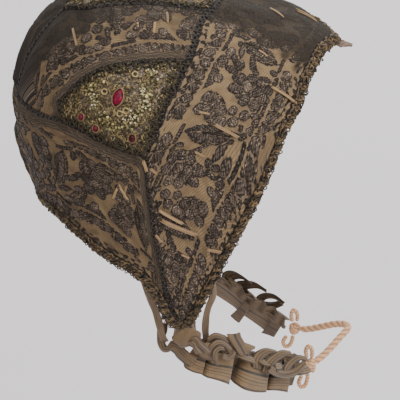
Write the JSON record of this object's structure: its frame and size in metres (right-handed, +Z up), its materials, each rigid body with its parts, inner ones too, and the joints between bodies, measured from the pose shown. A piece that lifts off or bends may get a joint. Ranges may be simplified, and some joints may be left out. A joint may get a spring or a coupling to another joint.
{
  "type": "bonnet",
  "caption": "Child's close-fitting bonnet of wide metal-thread galloon bands with embroidered inserts, lace edging, silk ribbons and a pleated chin strap tied by a cord.",
  "frame": {"origin": "the inside of the crown at its highest point, where the bonnet sits on the head", "axes": "+X towards the wearer's face, +Y to the wearer's left, +Z up"},
  "size_m": [0.1681, 0.1418, 0.215],
  "materials": {
    "galloon": "tan ribbed silk figured with dark tarnished metal thread",
    "embroidery": "gold-green sequins and purl wire on metal ground",
    "metal_lace": "tarnished metal bobbin lace",
    "tan_silk": "worn tan silk",
    "striped_ribbon": "ribbed silk ribbon, tan with dark lengthwise stripes",
    "peach_cord": "twisted silk cord",
    "red_stone": "polished, foil behind"
  },
  "bodies": {
    "root": {"front_band": "galloon", "crown_band_left": "galloon", "crown_band_right": "galloon", "nape_band_left": "galloon", "nape_band_right": "galloon", "back_tuck": "galloon", "top_insert": "embroidery", "side_insert_left": "embroidery", "side_insert_right": "embroidery", "front_edging": "metal_lace", "nape_edging": "metal_lace", "peak_tip": "tan_silk", "centre_stone_left": "red_stone", "centre_stone_right": "red_stone", "small_stone_left_1": "red_stone", "small_stone_left_2": "red_stone", "small_stone_left_3": "red_stone", "small_stone_right_1": "red_stone", "small_stone_right_2": "red_stone", "small_stone_right_3": "red_stone", "rear_ribbon_left": "striped_ribbon", "rear_ribbon_right": "striped_ribbon", "front_ribbon_left": "striped_ribbon", "front_ribbon_right": "striped_ribbon", "tie_tab_left": "tan_silk", "tie_tab_right": "tan_silk", "chin_ruffle_left": "striped_ribbon", "chin_ruffle_right": "striped_ribbon", "tie_knot_left": "peach_cord", "tie_knot_right": "peach_cord", "lower_loop_left": "peach_cord", "lower_loop_right": "peach_cord", "upper_loop_left": "peach_cord", "upper_loop_right": "peach_cord", "tie_cord": "peach_cord"}
  },
  "joints": []
}
